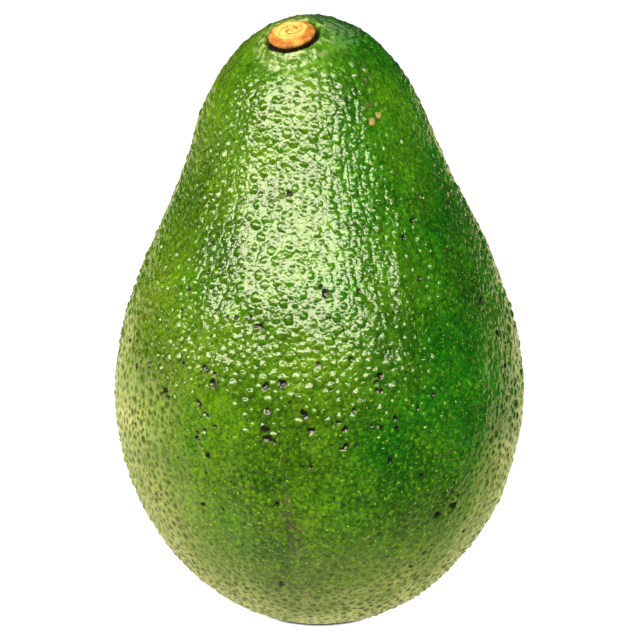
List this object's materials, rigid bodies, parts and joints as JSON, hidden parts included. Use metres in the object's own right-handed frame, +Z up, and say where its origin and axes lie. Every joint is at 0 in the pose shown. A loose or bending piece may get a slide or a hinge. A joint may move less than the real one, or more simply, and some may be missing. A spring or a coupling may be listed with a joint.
{
  "type": "avocado",
  "caption": "Whole pear-shaped green avocado with glossy pebbled skin and a cut woody stem button, standing upright on its blunt end.",
  "frame": {"origin": "centre of the flat spot that the fruit rests on, at the middle of its outline and the bottom", "axes": "+Z up from the blunt end to the stem end; the stem button faces -Y; +X to the right when the button faces the viewer"},
  "size_m": [0.0762, 0.0738, 0.1142],
  "materials": {
    "skin": "glossy waxed green fruit skin with fine raised pebbles, pale lenticel dots and small dark pits",
    "stem_wood": "dry cut stalk wood with a pale ringed face and a darker orange bark edge"
  },
  "bodies": {
    "root": {"fruit": "skin", "stem_button": "stem_wood"}
  },
  "joints": []
}
